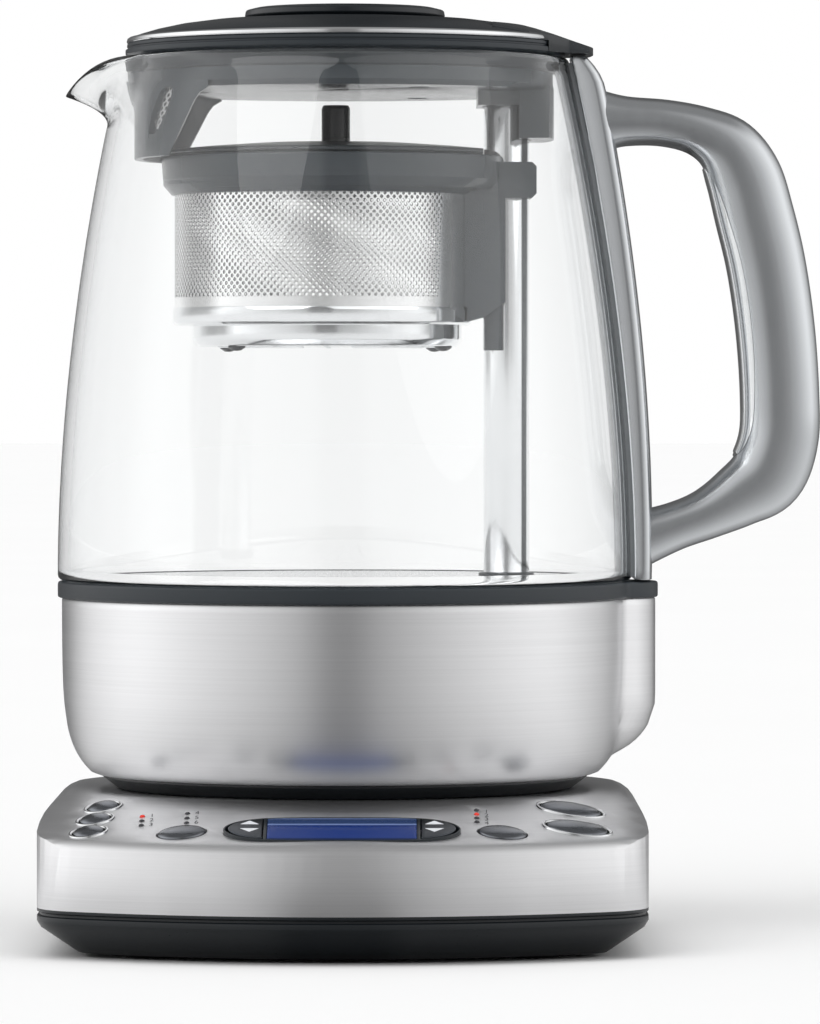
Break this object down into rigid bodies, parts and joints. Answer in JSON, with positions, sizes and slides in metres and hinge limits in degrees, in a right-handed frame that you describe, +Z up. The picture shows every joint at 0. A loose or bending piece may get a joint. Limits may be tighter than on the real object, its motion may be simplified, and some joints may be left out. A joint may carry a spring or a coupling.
{
  "type": "automatic tea maker",
  "caption": "Glass tea jug with a side handle, a self-lowering perforated basket on a post and a lift-off lid, on a steel power base with a sloping panel of buttons, rocker keys and a display.",
  "frame": {"origin": "on the table plane, at the centre of the middle rubber foot, under the axis of the jug and its round connector", "axes": "+X to the jug's handle, -Y to the control panel at the front, +Y to the back with the cord entry, +Z up"},
  "size_m": [0.211, 0.1845, 0.255],
  "materials": {
    "brushed_steel": "horizontally brushed, satin",
    "polished_steel": "polished",
    "fine_steel": "fine satin",
    "satin_metal": "satin, lengthwise",
    "button_metal": "metallic satin",
    "key_plastic": "satin",
    "grey_plastic": "smooth satin",
    "dark_plastic": "satin",
    "black_gloss": "gloss",
    "black_plastic": "semi-gloss",
    "seal_rubber": "matt",
    "foot_rubber": "matt",
    "clear_glass": "clear, polished",
    "display_blue": "gloss",
    "lens_plastic": "gloss",
    "display_module": "matt",
    "board": "solder resist",
    "cast_aluminium": "cast",
    "element": "matt",
    "contact_brass": "plain",
    "white_plastic": "matt"
  },
  "bodies": {
    "power_base": {"base_shell": "brushed_steel", "base_tray": "black_plastic", "rubber_feet": "foot_rubber", "base_screws": "fine_steel", "connector_socket": "black_plastic", "connector_contacts": "contact_brass", "display_bezel": "dark_plastic", "lcd_window": "display_blue", "lcd_module": "display_module", "button_rims": "polished_steel", "indicator_lenses": "lens_plastic", "control_board": "board", "tact_switches": "dark_plastic", "power_board": "board", "cord_gland": "black_plastic"},
    "left_key": {"left_rocker_key": "key_plastic"},
    "right_key": {"right_rocker_key": "key_plastic"},
    "connector": {"jug_connector": "white_plastic"},
    "jug": {"glass_jug": "clear_glass", "jug_seal": "seal_rubber", "jug_skirt": "brushed_steel", "heater_plate": "polished_steel", "heat_spreader": "cast_aluminium", "heating_element": "element", "thermal_cutouts": "element", "jug_bottom_cap": "black_plastic", "lift_gearmotor": "black_plastic", "lift_belt": "seal_rubber", "post_tube": "polished_steel", "post_seal": "seal_rubber", "handle": "satin_metal", "handle_trim": "polished_steel", "handle_spine": "polished_steel", "spine_gasket": "seal_rubber", "handle_screws": "fine_steel"},
    "drive": {"drive_pulley": "white_plastic"},
    "idler": {"idler_pulley": "white_plastic"},
    "carriage": {"magnet_carriage": "white_plastic", "carriage_magnets": "fine_steel"},
    "lid": {"lid_cover": "black_gloss", "lid_trim_ring": "polished_steel", "lid_knob": "black_gloss", "lid_gasket": "seal_rubber", "lid_body": "grey_plastic", "spout_filter": "fine_steel", "lid_screws": "fine_steel"},
    "basket": {"basket_carrier": "grey_plastic", "basket_wall": "fine_steel", "basket_floor": "polished_steel", "basket_feet": "dark_plastic", "basket_magnets": "fine_steel"},
    "basket_cover": {"basket_lid": "dark_plastic", "basket_knob": "black_gloss"},
    "auto_start": {"auto_start_button": "button_metal"},
    "keep_warm": {"keep_warm_button": "button_metal"},
    "basket_key": {"basket_button": "button_metal"},
    "tea_type": {"tea_type_button": "button_metal"},
    "strength": {"strength_button": "button_metal"},
    "hot_water": {"hot_water_button": "button_metal"},
    "start_cancel": {"start_cancel_button": "button_metal"}
  },
  "joints": [
    {"name": "jug_lift", "type": "slide", "parent": "power_base", "child": "connector", "axis": [0, 0, 1], "range_m": [0, 0.12]},
    {"name": "jug_turn", "type": "hinge", "parent": "connector", "child": "jug", "pos_m": [0, 0, 0.05], "axis": [0, 0, 1], "continuous": true},
    {"name": "lid_lift", "type": "slide", "parent": "jug", "child": "lid", "axis": [0, 0, 1], "range_m": [0, 0.06]},
    {"name": "basket_lift", "type": "slide", "parent": "jug", "child": "basket", "axis": [0, 0, 1], "range_m": [-0.06, 0]},
    {"name": "basket_cover_lift", "type": "slide", "parent": "basket", "child": "basket_cover", "axis": [0, 0, 1], "range_m": [0, 0.003]},
    {"name": "carriage_slide", "type": "slide", "parent": "jug", "child": "carriage", "axis": [0, 0, 1], "range_m": [-0.06, 0]},
    {"name": "drive_turn", "type": "hinge", "parent": "jug", "child": "drive", "pos_m": [0.0442, 0, 0.088], "axis": [1, 0, 0], "continuous": true},
    {"name": "idler_turn", "type": "hinge", "parent": "jug", "child": "idler", "pos_m": [0.0442, 0, 0.222], "axis": [1, 0, 0], "continuous": true},
    {"name": "auto_start_press", "type": "slide", "parent": "power_base", "child": "auto_start", "axis": [-0.1502, -0.2045, 0.9673], "range_m": [-0.0008, 0], "stiffness_N_per_m": 1500},
    {"name": "keep_warm_press", "type": "slide", "parent": "power_base", "child": "keep_warm", "axis": [-0.1412, -0.2109, 0.9673], "range_m": [-0.0008, 0], "stiffness_N_per_m": 1500},
    {"name": "basket_key_press", "type": "slide", "parent": "power_base", "child": "basket_key", "axis": [-0.1326, -0.2164, 0.9673], "range_m": [-0.0008, 0], "stiffness_N_per_m": 1500},
    {"name": "tea_type_press", "type": "slide", "parent": "power_base", "child": "tea_type", "axis": [-0.0843, -0.2393, 0.9673], "range_m": [-0.0008, 0], "stiffness_N_per_m": 1500},
    {"name": "strength_press", "type": "slide", "parent": "power_base", "child": "strength", "axis": [0.0843, -0.2393, 0.9673], "range_m": [-0.0008, 0], "stiffness_N_per_m": 1500},
    {"name": "hot_water_press", "type": "slide", "parent": "power_base", "child": "hot_water", "axis": [0.1404, -0.2114, 0.9673], "range_m": [-0.0008, 0], "stiffness_N_per_m": 1500},
    {"name": "start_cancel_press", "type": "slide", "parent": "power_base", "child": "start_cancel", "axis": [0.1261, -0.2202, 0.9673], "range_m": [-0.0008, 0], "stiffness_N_per_m": 1500},
    {"name": "left_key_rock", "type": "hinge", "parent": "power_base", "child": "left_key", "pos_m": [-0.0233, -0.08606, 0.03139], "axis": [1, 0, 0], "range_deg": [-3, 3], "stiffness_Nm_per_rad": 0.05},
    {"name": "right_key_rock", "type": "hinge", "parent": "power_base", "child": "right_key", "pos_m": [0.0233, -0.08606, 0.03139], "axis": [1, 0, 0], "range_deg": [-3, 3], "stiffness_Nm_per_rad": 0.05}
  ],
  "couplings": [
    {"joint": "carriage_slide", "follows": "basket_lift", "ratio": 1},
    {"joint": "drive_turn", "follows": "basket_lift", "rad_per_m": -229.88},
    {"joint": "idler_turn", "follows": "basket_lift", "rad_per_m": -229.88}
  ]
}
